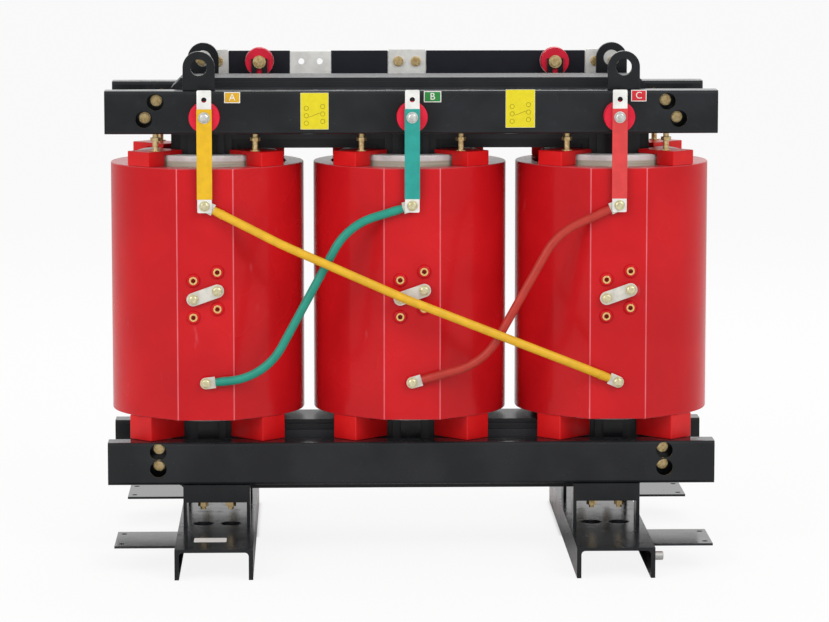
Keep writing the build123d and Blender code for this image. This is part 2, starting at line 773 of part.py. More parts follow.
# Delta links. Stiff sleeved rods that join the windings in a ring. Each runs from the upper
# terminal of one winding to the lower terminal of the next, with a cable lug at either end.
rod_depth = (terminal_face + palm_front) / 2
link_routes = {
    "yellow": (
        (phases["a"], terminal_top_height),
        ((-270, -252, 664), (-13, -262, 551), (330, -250, 415)),
        (phases["c"], terminal_bottom_height),
        300.0,
    ),
    "green": (
        (phases["a"], terminal_bottom_height),
        ((-306, -236, 386), (-134, -228, 702)),
        (phases["b"], terminal_top_height),
        140.0,
    ),
    "red": (
        (phases["b"], terminal_bottom_height),
        ((149, -236, 414), (300, -232, 684)),
        (phases["c"], terminal_top_height),
        140.0,
    ),
}
lug_planes = []
for colour, (start, corners, finish, bend) in link_routes.items():
    ends = []
    for (x, z), corner in ((start, corners[0]), (finish, corners[-1])):
        palm_run = Vector(corner[0] - x, 0, corner[2] - z).normalized()
        palm_end = Vector(x, -rod_depth, z) + palm_run * lug_palm_reach
        barrel_run = (Vector(*corner) - palm_end).normalized()
        ends.append(palm_end + barrel_run * lug_barrel_length)
        lug_planes.append(((x, z), palm_run, palm_end, barrel_run))
    with BuildPart() as link:
        with BuildLine() as route:
            FilletPolyline(ends[0], *corners, ends[1], radius=bend)
        with BuildSketch(Plane(origin=route.line @ 0, z_dir=route.line % 0)):
            Circle(link_diameter / 2)
        sweep(path=route.line)
    save(link.part, f"delta_link_{colour}")

# Cable lugs. A flat palm with a round end lies on the terminal, and a barrel holds the rod.
with BuildPart() as cable_lugs:
    for (x, z), palm_run, palm_end, barrel_run in lug_planes:
        palm_plane = Plane(origin=(x, -terminal_face, z), x_dir=palm_run, z_dir=(0, -1, 0))
        with BuildSketch(palm_plane):
            Circle(lug_palm_width / 2)
            with Locations((lug_palm_reach / 2, 0)):
                Rectangle(lug_palm_reach, lug_palm_width)
            Circle(terminal_hole_radius, mode=Mode.SUBTRACT)
        extrude(amount=lug_palm_thickness)
        with BuildSketch(Plane(origin=palm_end, z_dir=barrel_run)):
            Circle(lug_barrel_radius)
        extrude(amount=lug_barrel_length)
save(cable_lugs.part, "cable_lugs")

# Terminal bolts. Hexagon bolts with a washer, on the terminals, the tap links and the posts.
with BuildPart() as terminal_bolts:
    bolt_groups = (
        (palm_front, terminal_face, [(centre, terminal_bottom_height) for centre in phases.values()]),
        (bar_front, terminal_face, [(centre, terminal_top_height) for centre in phases.values()]),
        (bar_front, palm_front, [(centre, hv_post_height) for centre in phases.values()]),
        (tap_link_front, terminal_face, sum((tap_points(c)[1::3] for c in phases.values()), [])),
    )
    for seat, thread_start, points in bolt_groups:
        with BuildSketch(at_depth(-seat)):
            with Locations(*points):
                Circle(washer_radius)
        extrude(amount=washer_thickness)
        with BuildSketch(at_depth(-seat - washer_thickness)):
            with Locations(*points):
                RegularPolygon(bolt_head_flats / 2, 6, major_radius=False)
        extrude(amount=bolt_head_height)
        with BuildSketch(at_depth(-seat)):
            with Locations(*points):
                Circle(bolt_shank / 2)
        extrude(amount=-(seat - thread_start + bolt_engagement))
save(terminal_bolts.part, "terminal_bolts")

# Lifting lugs. Thick plates with a round top and a hole, welded on the upper clamps.
for hand, hand_sign in (("left", -1), ("right", 1)):
    for side, sign in sides.items():
        with BuildPart() as lifting_lug:
            outer_y = clamp_outer_face - lug_setback
            eye_height = upper_clamp_top + lug_height - lug_width / 2
            with BuildSketch(at_depth(sign * outer_y)):
                with Locations((hand_sign * lug_x, eye_height)):
                    Circle(lug_width / 2)
                with Locations((hand_sign * lug_x, (upper_clamp_top + eye_height) / 2)):
                    Rectangle(lug_width, eye_height - upper_clamp_top)
                with Locations((hand_sign * lug_x, eye_height)):
                    Circle(lug_hole / 2, mode=Mode.SUBTRACT)
            extrude(amount=sign * lug_thickness)
        save(lifting_lug.part, f"{side}_{hand}_lifting_lug")

# Neutral bar. A long flat bar behind the upper rear clamp, drilled for the leads of the
# windings, the posts and an outside neutral cable.
neutral_bolt_height = neutral_axis_height + neutral_bolt_rise
lead_bolt_points = [
    (centre + step, neutral_bolt_height)
    for centre in phases.values()
    for step in (-neutral_bolt_spacing / 2, neutral_bolt_spacing / 2)
]
post_points = [(-neutral_post_x, neutral_post_height), (neutral_post_x, neutral_post_height)]
with BuildPart() as neutral_bar:
    with BuildSketch(at_depth(neutral_bar_front)):
        with Locations((0, neutral_axis_height)):
            Rectangle(neutral_length, neutral_height)
        with Locations(*lead_bolt_points, *post_points):
            Circle(terminal_hole_radius, mode=Mode.SUBTRACT)
        with Locations((neutral_pad_x, neutral_bolt_height)):
            with GridLocations(neutral_pad_hole_spacing, 1, 2, 1):
                Circle(phase_lead_hole / 2, mode=Mode.SUBTRACT)
    extrude(amount=-neutral_thickness)
save(neutral_bar.part, "neutral_bar")

# Neutral sleeves. Three lengths of black insulation, open in front where the posts bear.
with BuildPart() as neutral_sleeves:
    lead_reach = neutral_lead_width / 2 + neutral_sleeve_gap
    pad_start = neutral_pad_x - neutral_pad_width / 2
    pad_end = neutral_pad_x + neutral_pad_width / 2
    sleeve_runs = (
        (phases["a"] + lead_reach, pad_start),
        (pad_end, phases["b"] - lead_reach),
        (phases["b"] + lead_reach, phases["c"] - lead_reach),
    )
    bar_axis_y = neutral_bar_front + neutral_thickness / 2
    for start, end in sleeve_runs:
        with BuildSketch(Plane.YZ.offset(start)):
            with Locations((bar_axis_y, neutral_axis_height)):
                Rectangle(
                    neutral_thickness + 2 * neutral_sleeve_wall,
                    neutral_height + 2 * neutral_sleeve_wall,
                )
                Rectangle(neutral_thickness, neutral_height, mode=Mode.SUBTRACT)
        extrude(amount=end - start)
    with BuildSketch(at_depth(neutral_bar_front)):
        with Locations(*post_points):
            Circle(neutral_post_radius + bolt_clearance)
    extrude(amount=neutral_post_length, mode=Mode.SUBTRACT)
    with BuildSketch(at_depth(neutral_bar_front)):
        with Locations(*post_points):
            Circle(post_washer_radius + bolt_clearance)
    extrude(amount=-2 * neutral_thickness, mode=Mode.SUBTRACT)
save(neutral_sleeves.part, "neutral_sleeves")

# Low-voltage posts. Waisted resin posts that hold the neutral bar off the brackets, bored
# right through for a screw from either end.
with BuildPart() as lv_posts:
    for x, z in post_points:
        middle = (neutral_post_start + neutral_bar_front) / 2
        with BuildSketch(Plane.XY.offset(z)):
            with BuildLine():
                Polyline(
                    (x + terminal_hole_radius, neutral_post_start),
                    (x + neutral_post_radius, neutral_post_start),
                    (x + neutral_post_radius, neutral_post_start + neutral_post_rim),
                    (x + neutral_post_waist, middle),
                    (x + neutral_post_radius, neutral_bar_front - neutral_post_rim),
                    (x + neutral_post_radius, neutral_bar_front),
                    (x + terminal_hole_radius, neutral_bar_front),
                    close=True,
                )
            make_face()
        revolve(axis=Axis((x, 0, z), (0, 1, 0)))
save(lv_posts.part, "lv_post_insulators")

# Neutral brackets. Forked plates on the upper rear clamp. The bolt drops into the fork.
with BuildPart() as brackets:
    with BuildSketch(at_depth(neutral_post_start)):
        for x, z in post_points:
            bracket_top = z + bracket_above_bolt
            with Locations((x, (upper_clamp_top + bracket_top) / 2)):
                Rectangle(bracket_width, bracket_top - upper_clamp_top)
            slot_floor = bracket_top - bracket_slot_depth + bracket_slot_width / 2
            with Locations((x, slot_floor)):
                Circle(bracket_slot_width / 2, mode=Mode.SUBTRACT)
            with Locations((x, (slot_floor + bracket_top) / 2)):
                Rectangle(bracket_slot_width, bracket_top - slot_floor, mode=Mode.SUBTRACT)
    extrude(amount=bracket_thickness)
save(brackets.part, "neutral_brackets")

# Neutral bolts. Screws into both ends of the posts, and bolts with nuts at the leads.
with BuildPart() as neutral_bolts:
    bracket_front = neutral_post_start - bracket_thickness
    bar_back = neutral_bar_front + neutral_thickness
    lead_front = neutral_bar_front - neutral_lead_thickness
    screw_groups = (
        (bracket_front, 1, post_washer_radius, post_bolt_length, post_points),
        (bar_back, -1, post_washer_radius, post_bolt_length, post_points),
        (lead_front, 1, washer_radius, bar_back - lead_front + bolt_engagement, lead_bolt_points),
    )
    for seat, outward, washer, shank_length, points in screw_groups:
        with BuildSketch(at_depth(seat)):
            with Locations(*points):
                Circle(washer)
        extrude(amount=outward * washer_thickness)
        with BuildSketch(at_depth(seat - outward * washer_thickness)):
            with Locations(*points):
                RegularPolygon(bolt_head_flats / 2, 6, major_radius=False)
        extrude(amount=outward * bolt_head_height)
        with BuildSketch(at_depth(seat)):
            with Locations(*points):
                Circle(bolt_shank / 2)
        extrude(amount=-outward * shank_length)
    with BuildSketch(at_depth(bar_back)):
        with Locations(*lead_bolt_points):
            Circle(washer_radius)
    extrude(amount=-washer_thickness)
    with BuildSketch(at_depth(bar_back + washer_thickness)):
        with Locations(*lead_bolt_points):
            RegularPolygon(bolt_head_flats / 2, 6, major_radius=False)
    extrude(amount=-bolt_head_height)
save(neutral_bolts.part, "neutral_bolts")

# Neutral leads. A bent strip rises from each low-voltage winding, passes under the clamp and
# stands in front of the neutral bar.
with BuildPart() as neutral_leads:
    near = neutral_lead_start + neutral_lead_thickness / 2
    far = neutral_bar_front - neutral_lead_thickness / 2
    top = neutral_axis_height + neutral_height / 2 + neutral_lead_above_bar
    for centre in phases.values():
        with BuildSketch(Plane.YZ.offset(centre - neutral_lead_width / 2)):
            with BuildLine() as path:
                FilletPolyline(
                    (near, lv_top),
                    (near, neutral_lead_level),
                    (far, neutral_lead_level),
                    (far, top),
                    radius=neutral_lead_bend,
                )
            trace(path.line, neutral_lead_thickness)
        extrude(amount=neutral_lead_width)
    with BuildSketch(at_depth(neutral_bar_front)):
        with Locations(*lead_bolt_points):
            Circle(terminal_hole_radius)
    extrude(amount=neutral_post_length / 2, mode=Mode.SUBTRACT)
save(neutral_leads.part, "neutral_leads")

# Low-voltage terminals. A thicker strip leads under the clamp to a drilled upright end.
for phase, centre in phases.items():
    with BuildPart() as lv_terminal:
        near = phase_lead_start
        far = phase_lead_reach + phase_lead_thickness / 2
        with BuildSketch(Plane.YZ.offset(centre - phase_lead_width / 2)):
            with BuildLine() as path:
                FilletPolyline(
                    (near, lv_top),
                    (near, phase_lead_level),
                    (far, phase_lead_level),
                    (far, phase_lead_top),
                    radius=phase_lead_bend,
                )
            trace(path.line, phase_lead_thickness)
        extrude(amount=phase_lead_width)
        with BuildSketch(at_depth(far)):
            with Locations((centre, phase_lead_top - phase_lead_hole_margin)):
                with GridLocations(phase_lead_hole_spacing, phase_lead_hole_spacing, 2, 2):
                    Circle(phase_lead_hole / 2)
        extrude(amount=phase_lead_thickness, both=True, mode=Mode.SUBTRACT)
    save(lv_terminal.part, f"lv_terminal_{phase}")
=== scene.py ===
from math import pi, radians, sqrt

import bpy
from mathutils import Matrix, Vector


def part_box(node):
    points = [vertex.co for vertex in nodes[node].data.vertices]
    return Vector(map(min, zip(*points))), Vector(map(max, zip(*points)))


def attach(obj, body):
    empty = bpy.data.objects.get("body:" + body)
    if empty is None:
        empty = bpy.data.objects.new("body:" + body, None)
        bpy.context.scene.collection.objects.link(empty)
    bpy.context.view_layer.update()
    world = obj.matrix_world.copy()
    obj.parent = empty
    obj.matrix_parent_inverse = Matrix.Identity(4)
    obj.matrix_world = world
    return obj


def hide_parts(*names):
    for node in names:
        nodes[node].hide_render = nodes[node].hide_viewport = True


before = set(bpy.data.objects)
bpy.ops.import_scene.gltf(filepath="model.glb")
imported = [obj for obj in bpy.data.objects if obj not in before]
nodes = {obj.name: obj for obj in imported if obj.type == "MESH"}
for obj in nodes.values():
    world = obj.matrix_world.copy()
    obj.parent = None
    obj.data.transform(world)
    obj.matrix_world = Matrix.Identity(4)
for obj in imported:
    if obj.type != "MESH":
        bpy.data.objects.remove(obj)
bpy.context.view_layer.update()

# Camera and light. The camera stands on the high-voltage side, a little to the left and above
# the unit. The room is white, with a large soft lamp on either side and one behind.
camera_place = (-0.207, -7.970, 1.510)
camera_pitch = 0.1268
camera_turn = 0.0273
bpy.ops.object.camera_add(
    location=camera_place,
    rotation=(pi / 2 - camera_pitch, 0, -camera_turn),
)
camera = bpy.context.object
camera.data.sensor_width = 36
camera.data.lens = 163.1
camera.data.clip_end = 200
bpy.context.scene.camera = camera
bpy.context.scene.view_settings.view_transform = "Standard"


class Shade:
    """A socket of a shader tree that does its own arithmetic by adding Math nodes."""

    def __init__(self, tree, socket=None):
        self.tree = tree
        self.socket = socket

    def node(self, kind, settings, inputs, output=0):
        """Add a node: its settings first, then values or links for its input sockets."""
        made = self.tree.nodes.new(kind)
        for name, value in settings.items():
            setattr(made, name, value)
        for name, value in inputs.items():
            if isinstance(value, Shade):
                self.tree.links.new(value.socket, made.inputs[name])
            else:
                made.inputs[name].default_value = value
        return Shade(self.tree, made.outputs[output] if made.outputs else None)

    def sum_of(self, operation, *terms):
        return self.node("ShaderNodeMath", {"operation": operation}, dict(enumerate(terms)))

    def __add__(self, other):
        return self.sum_of("ADD", self, other)

    __radd__ = __add__

    def __sub__(self, other):
        return self.sum_of("SUBTRACT", self, other)

    def __rsub__(self, other):
        return self.sum_of("SUBTRACT", other, self)

    def __mul__(self, other):
        return self.sum_of("MULTIPLY", self, other)

    __rmul__ = __mul__

    def __neg__(self):
        return self * -1.0

    def __abs__(self):
        return self.sum_of("ABSOLUTE", self)

    def between(self, low, high):
        """Ramp smoothly from 0 at low to 1 at high."""
        return self.node(
            "ShaderNodeMapRange",
            {"interpolation_type": "SMOOTHSTEP"},
            {0: self, 1: low, 2: high, 3: 0.0, 4: 1.0},
        )

    def blend(self, first, second):
        """Mix two colours by this factor."""
        return self.node(
            "ShaderNodeMix",
            {"data_type": "RGBA"},
            {0: self, 6: first, 7: second},
            output=2,
        )


def rgba(red, green, blue):
    """Turn a colour as seen, in 0 to 255, into a linear one."""
    seen = [value / 255 for value in (red, green, blue)]
    linear = [((v + 0.055) / 1.055) ** 2.4 if v > 0.04 else v / 12.92 for v in seen]
    return (*linear, 1.0)


world = bpy.data.worlds.new("white_room")
bpy.context.scene.world = world
world.use_nodes = True
world.node_tree.nodes.clear()
room = Shade(world.node_tree)
to_camera = room.node("ShaderNodeLightPath", {}, {}, output="Is Camera Ray")
to_gloss = room.node("ShaderNodeLightPath", {}, {}, output="Is Glossy Ray")
ambient_strength = 0.68
gloss_strength = 1.0
strength = ambient_strength + to_gloss * (gloss_strength - ambient_strength)
strength = strength + to_camera * (1.0 - strength)
background = room.node("ShaderNodeBackground", {}, {"Color": (1, 1, 1, 1), "Strength": strength})
room.node("ShaderNodeOutputWorld", {}, {"Surface": background})

aim = Vector((0, 0, 0.5))
lamps = (
    ("key_lamp", (3.4, -4.6, 4.2), 3.0, 130),
    ("fill_lamp", (-3.6, -4.0, 3.0), 2.6, 95),
    ("rear_lamp", (0.5, 3.6, 3.8), 2.4, 60),
)
for name, place, size, power in lamps:
    bpy.ops.object.light_add(type="AREA", location=place)
    lamp = bpy.context.object
    lamp.name = name
    lamp.data.size = size
    lamp.data.energy = power
    lamp.rotation_euler = (aim - Vector(place)).to_track_quat("-Z", "Y").to_euler()

# Floor. A plain white studio floor that takes the shadow of the unit. Its glow is taken out in a
# band right under the skids as painted shade, so that it is darkest there.
floor_size = 160
skid_place = 0.41
glow_share = 0.88
bpy.ops.mesh.primitive_plane_add(size=floor_size, location=(0, 0, 0))
floor = bpy.context.object
floor.name = "studio_floor"
floor_paint = bpy.data.materials.new("studio_floor")
floor_paint.use_nodes = True
floor_paint.node_tree.nodes.clear()
ground = Shade(floor_paint.node_tree)
to_camera = ground.node("ShaderNodeLightPath", {}, {}, output="Is Camera Ray")
spot = ground.node("ShaderNodeTexCoord", {}, {}, output="Object")
x, y = [ground.node("ShaderNodeSeparateXYZ", {}, {0: spot}, output=axis) for axis in range(2)]
# Painted shade: a mask of the floor right under the skids, where the glow is left out.
across_skid = 1.0 - abs(abs(x) - skid_place).between(0.07, 0.09)
along_skid = y.between(0.0, 0.04) * (1.0 - y.between(0.42, 0.46))
glow_outside_painted_shade = 1.0 - across_skid * along_skid
lit = ground.node("ShaderNodeBsdfDiffuse", {}, {"Color": (0.86, 0.86, 0.86, 1)})
glow = ground.node("ShaderNodeEmission", {}, {"Color": (1, 1, 1, 1), "Strength": 1.0})
glow_here = to_camera * glow_share * glow_outside_painted_shade
shown = ground.node("ShaderNodeMixShader", {}, {0: glow_here, 1: lit, 2: glow})
ground.node("ShaderNodeOutputMaterial", {}, {"Surface": shown})
floor.data.materials.append(floor_paint)


# Frame. Skids, pedestals, clamps and lugs are of steel section and plate, bolted or welded,
# and sprayed in semi-gloss black paint. The lugs' cut edges are broken, and catch the light.
def surface(name, **plain):
    """Start a material: the material, its Shade and its principled shader with plain values set."""
    made = bpy.data.materials.new(name)
    made.use_nodes = True
    tree = made.node_tree
    shader = tree.nodes["Principled BSDF"]
    for key, value in plain.items():
        shader.inputs[key.replace("_", " ")].default_value = value
    return made, Shade(tree), shader


def feed(shader, **links):
    """Link varying values to the sockets of a principled shader."""
    for key, value in links.items():
        shader.id_data.links.new(value.socket, shader.inputs[key.replace("_", " ")])


def noise(shade, scale, detail=3.0, squeeze=(1, 1, 1)):
    """Noise fixed to the piece, with a size of 1 / scale metres."""
    place = shade.node("ShaderNodeTexCoord", {}, {}, output="Object")
    place = shade.node("ShaderNodeMapping", {}, {"Vector": place, "Scale": squeeze})
    inputs = {"Vector": place, "Scale": scale, "Detail": detail}
    return shade.node("ShaderNodeTexNoise", {}, inputs)


def place_of(shade):
    """The three coordinates of a point on the piece, in metres."""
    place = shade.node("ShaderNodeTexCoord", {}, {}, output="Object")
    return [shade.node("ShaderNodeSeparateXYZ", {}, {0: place}, output=axis) for axis in range(3)]


def dress(material, *names):
    """Give CAD nodes a finish."""
    for name in names:
        slots = nodes[name].data.materials
        slots.clear()
        slots.append(material)


merge_distance = 0.00001
edge_turn = 32


def select_only(piece):
    """Select one object and make it the active one."""
    bpy.ops.object.select_all(action="DESELECT")
    piece.select_set(True)
    bpy.context.view_layer.objects.active = piece


def smooth(piece, turn):
    """Merge doubles, turn the faces outwards, and shade flat faces flat and round ones round."""
    select_only(piece)
    bpy.ops.object.mode_set(mode="EDIT")
    bpy.ops.mesh.select_all(action="SELECT")
    bpy.ops.mesh.remove_doubles(threshold=merge_distance)
    bpy.ops.mesh.normals_make_consistent(inside=False)
    bpy.ops.object.mode_set(mode="OBJECT")
    bpy.ops.object.shade_smooth_by_angle(angle=radians(turn))
    weighted = piece.modifiers.new("weighted", "WEIGHTED_NORMAL")
    weighted.keep_sharp = True
    bpy.ops.object.modifier_apply(modifier=weighted.name)


def round_edges(piece, width, turn, segments=2):
    """Round every edge that turns by more than an angle."""
    select_only(piece)
    bevel = piece.modifiers.new("bevel", "BEVEL")
    bevel.width = width
    bevel.segments = segments
    bevel.limit_method = "ANGLE"
    bevel.angle_limit = radians(turn)
    bevel.use_clamp_overlap = True
    bpy.ops.object.modifier_apply(modifier=bevel.name)


def settle(piece, slot_name, material, *replaced):
    """Fix a finished piece to the unit, with its finish, in place of the CAD nodes named."""
    if material:
        piece.data.materials.clear()
        piece.data.materials.append(material)
    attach(piece, "root")
    if replaced:
        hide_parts(*replaced)


def broken_edges(name, width, material, slot_name):
    """Stand in for a CAD node with the same shape, its cut edges rounded."""
    piece = bpy.data.objects.new(f"{name}_finished", nodes[name].data.copy())
    bpy.context.scene.collection.objects.link(piece)
    select_only(piece)
    bpy.ops.object.mode_set(mode="EDIT")
    bpy.ops.mesh.select_all(action="SELECT")
    bpy.ops.mesh.remove_doubles(threshold=merge_distance)
    bpy.ops.mesh.dissolve_limited(angle_limit=radians(0.5))
    bpy.ops.object.mode_set(mode="OBJECT")
    round_edges(piece, width, edge_turn)
    smooth(piece, edge_turn)
    settle(piece, slot_name, material, name)


paint_black = rgba(27, 29, 31)
paint_grey = rgba(36, 38, 41)
black_paint, shade, shader = surface("black_paint", IOR=1.5, Specular_IOR_Level=0.22)
peel = noise(shade, 420, 2)
patches = noise(shade, 9, 4)
dust = noise(shade, 34, 5).between(0.5, 0.75)
colour = patches.between(0.35, 0.7).blend(paint_black, paint_grey)
bump = shade.node("ShaderNodeBump", {}, {"Strength": 0.05, "Distance": 0.0004, "Height": peel})
roughness = 0.14 + 0.1 * patches + 0.12 * dust
feed(shader, Base_Color=colour, Roughness=roughness, Normal=bump)
sides = ("front", "rear")
hands = ("left", "right")
dress(
    black_paint,
    *[f"{hand}_{piece}" for hand in hands for piece in ("skid", "pedestals", "spacers")],
    *[f"{level}_{side}_clamp" for level in ("lower", "upper") for side in sides],
    *[f"{side}_tie_plates" for side in sides],
    "neutral_brackets",
)
for side in sides:
    for hand in hands:
        broken_edges(f"{side}_{hand}_lifting_lug", 0.0012, black_paint, "frame_black")

# Anchor plates. Flat bars welded across the skids, in gloss black, with their broad tops
# shining like a mirror at a low angle.
gloss_paint, shade, shader = surface("gloss_paint", IOR=1.5, Specular_IOR_Level=0.4)
patches = noise(shade, 14, 4)
feed(
    shader,
    Base_Color=patches.between(0.35, 0.7).blend(paint_black, paint_grey),
    Roughness=0.08 + 0.12 * patches,
)
for hand in hands:
    broken_edges(f"{hand}_anchor_plates", 0.0008, gloss_paint, "plate_black")

# Core. Stacked silicon-steel laminations under black varnish, with their edges showing as fine
# lines, and brown pressed boards between the yokes and the clamps.
varnish, shade, shader = surface("core_varnish", IOR=1.45, Specular_IOR_Level=0.3)
place = shade.node("ShaderNodeTexCoord", {}, {}, output="Object")
leaf = shade.node(
    "ShaderNodeTexWave",
    {"bands_direction": "Y"},
    {"Vector": place, "Scale": 160.0, "Distortion": 0.4},
    output="Fac",
)
patches = noise(shade, 14, 4)
colour = (leaf * 0.5 + patches * 0.5).blend(rgba(22, 23, 26), rgba(54, 56, 60))
bump = shade.node("ShaderNodeBump", {}, {"Strength": 0.25, "Distance": 0.0005, "Height": leaf})
feed(shader, Base_Color=colour, Roughness=0.3 + 0.2 * patches, Normal=bump)
dress(varnish, "core_legs_and_lower_yoke", "upper_yoke")

board, shade, shader = surface("pressed_board")
fibres = noise(shade, 60, 5, (1, 1, 4))
feed(
    shader,
    Base_Color=fibres.between(0.3, 0.7).blend(rgba(96, 74, 44), rgba(140, 112, 70)),
    Roughness=0.6 + 0.2 * fibres,
)
dress(board, "upper_yoke_pads", "lower_yoke_pads")

# High-voltage windings. Each is one casting of glossy red epoxy resin: a round body with a
# flat panel on its front, on two tangent flanks, and a tapered boss round each threaded
# insert. A pale pink line is painted along the corners of the panel and round the ends, as a
# painted highlight on the edges.
coil_low, coil_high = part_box("hv_coil_b")
coil_bottom, coil_top = coil_low.z, coil_high.z
coil_height = coil_top - coil_bottom
coil_middle = (coil_bottom + coil_top) / 2
coil_radius = coil_high.y
coil_bore = 0.166
panel_depth = 0.212
panel_width = 0.118
boss_height = 0.006
boss_tip = 0.012
boss_root = 0.0155
boss_sink = 0.001
tap_middle = coil_middle + 0.0015
tap_spacing = 0.050
tap_pitch = 0.0385
tap_rise = 0.0175
lower_terminal = coil_bottom + 0.080
upper_terminal = coil_top - 0.076
boss_places = [
    (side * tap_spacing / 2, tap_middle + row * tap_pitch + side * tap_rise / 2)
    for side in (-1, 1)
    for row in (-1, 0, 1)
]
boss_places += [(0, lower_terminal), (0, upper_terminal)]
pocket_radius = 0.00855
pocket_depth = 0.014
pocket_run_out = 0.006


def combine(piece, tool, operation):
    """Join or cut a piece with a tool, and throw the tool away."""
    select_only(piece)
    boolean = piece.modifiers.new("boolean", "BOOLEAN")
    boolean.object = tool
    boolean.operation = operation
    boolean.solver = "EXACT"
    bpy.ops.object.modifier_apply(modifier=boolean.name)
    bpy.data.objects.remove(tool)


def joined(pieces):
    """Join objects into one."""
    bpy.ops.object.select_all(action="DESELECT")
    for piece in pieces:
        piece.select_set(True)
    bpy.context.view_layer.objects.active = pieces[0]
    bpy.ops.object.join()
    bpy.ops.object.transform_apply(location=True, rotation=True, scale=True)
    return bpy.context.object


bpy.ops.object.select_all(action="DESELECT")
bpy.ops.mesh.primitive_cylinder_add(
    vertices=180, radius=coil_radius, depth=coil_height, location=(0, 0, coil_middle)
)
coil = bpy.context.object
bpy.ops.object.mode_set(mode="EDIT")
bpy.ops.mesh.primitive_cube_add(
    size=1,
    location=(0, -panel_depth / 2, coil_middle),
    scale=(panel_width, panel_depth, coil_height),
)
bpy.ops.mesh.select_all(action="SELECT")
bpy.ops.mesh.convex_hull()
bpy.ops.mesh.dissolve_limited(angle_limit=radians(0.4))
bpy.ops.object.mode_set(mode="OBJECT")
bpy.ops.object.transform_apply(location=True, rotation=True, scale=True)
bpy.ops.object.select_all(action="DESELECT")
bpy.ops.mesh.primitive_cylinder_add(
    vertices=160, radius=coil_bore, depth=coil_height * 1.2, location=(0, 0, coil_middle)
)
combine(coil, bpy.context.object, "DIFFERENCE")
round_edges(coil, 0.0026, 20, 3)

bosses = []
pockets = []
for x, z in boss_places:
    bpy.ops.mesh.primitive_cone_add(
        vertices=48,
        radius1=boss_root,
        radius2=boss_tip,
        depth=boss_height + boss_sink,
        location=(x, -panel_depth + (boss_sink - boss_height) / 2, z),
        rotation=(pi / 2, 0, 0),
    )
    boss = bpy.context.object
    bpy.ops.object.transform_apply(location=True, rotation=True, scale=True)
    round_edges(boss, 0.0015, 40, 3)
    bosses.append(boss)
    bpy.ops.object.select_all(action="DESELECT")
    bpy.ops.mesh.primitive_cylinder_add(
        vertices=48,
        radius=pocket_radius,
        depth=pocket_depth + pocket_run_out,
        location=(x, -panel_depth - boss_height + (pocket_depth - pocket_run_out) / 2, z),
        rotation=(pi / 2, 0, 0),
    )
    pockets.append(bpy.context.object)
combine(coil, joined(bosses), "UNION")
combine(coil, joined(pockets), "DIFFERENCE")
smooth(coil, 30)

phase_pitch = 0.430
resin_dark = rgba(188, 20, 27)
resin_light = rgba(204, 26, 32)
edge_highlight_pink = rgba(232, 132, 140)
red_resin, shade, shader = surface(
    "red_resin", IOR=1.5, Specular_IOR_Level=0.14, Coat_Roughness=0.06
)
x, y, z = place_of(shade)
from_axis = shade.sum_of("WRAP", x, phase_pitch / 2, -phase_pitch / 2)
patches = noise(shade, 5, 3)
fine = noise(shade, 150, 2)
wear_and_sheen = noise(shade, 24, 4)
# Painted highlight: pale pink along the panel corners and round both ends, across the end faces
# too, varied by noise. The scuffs added to it are real marks.
on_front = (-y).between(panel_depth - 0.006, panel_depth - 0.0015)
corner = 1.0 - abs(abs(from_axis) - (panel_width / 2 - 0.0006)).between(0.0004, 0.0019)
rim = 1.0 - shade.sum_of("MINIMUM", z - coil_bottom, coil_top - z).between(0.0003, 0.0022)
painted_highlight = corner * on_front * (0.3 + 0.6 * wear_and_sheen) + 0.55 * rim * wear_and_sheen
scuffs = noise(shade, 26, 3, (1, 1, 0.35)).between(0.70, 0.80) * 0.22
colour = patches.between(0.3, 0.7).blend(resin_dark, resin_light)
colour = shade.sum_of("MINIMUM", painted_highlight + scuffs, 1.0).blend(colour, edge_highlight_pink)
bump = shade.node("ShaderNodeBump", {}, {"Strength": 0.04, "Distance": 0.0006, "Height": fine})
feed(
    shader,
    Base_Color=colour,
    Roughness=0.20 + 0.12 * patches,
    Coat_Weight=0.02 + 0.12 * wear_and_sheen,
    Normal=bump,
)
phases = {"a": -phase_pitch, "b": 0.0, "c": phase_pitch}
for phase, centre in phases.items():
    winding = bpy.data.objects.new(f"hv_winding_{phase}", coil.data.copy())
    bpy.context.scene.collection.objects.link(winding)
    select_only(winding)
    winding.location.x = centre
    bpy.ops.object.transform_apply(location=True, rotation=True, scale=True)
    settle(winding, "red_resin", red_resin, f"hv_coil_{phase}")
bpy.data.objects.remove(coil)

# Low-voltage windings. Foil and insulation wound on a cylinder, and closed at both ends with
# pale resin that is poured and levelled. They stand on steps in the support blocks.
lv_low, lv_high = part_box("lv_coil_b")
grey_resin, shade, shader = surface("grey_resin", Specular_IOR_Level=0.3)
z = place_of(shade)[2]
patches = noise(shade, 30, 4)
foil = noise(shade, 40, 2, (0.2, 0.2, 8))
from_end = shade.sum_of("MINIMUM", z - lv_low.z, lv_high.z - z)
end_resin = 1.0 - from_end.between(0.010, 0.014)
body = foil.between(0.3, 0.7).blend(rgba(176, 170, 150), rgba(198, 194, 178))
ends = patches.between(0.3, 0.7).blend(rgba(206, 206, 204), rgba(232, 232, 230))
feed(shader, Base_Color=end_resin.blend(body, ends), Roughness=0.35 + 0.2 * patches)
for phase in phases:
    broken_edges(f"lv_coil_{phase}", 0.0008, grey_resin, "winding_resin")

# Support blocks. Moulded red resin blocks that carry and hold down the windings. Each is
# stepped between the ends of the two windings, and has rounded corners.
block_resin, shade, shader = surface("block_resin", IOR=1.5, Specular_IOR_Level=0.25)
patches = noise(shade, 12, 3)
feed(
    shader,
    Base_Color=patches.between(0.3, 0.7).blend(rgba(204, 18, 22), rgba(220, 26, 28)),
    Roughness=0.24 + 0.12 * patches,
)
for level in ("lower", "upper"):
    for phase in phases:
        broken_edges(f"{level}_blocks_{phase}", 0.0016, block_resin, "block_red")

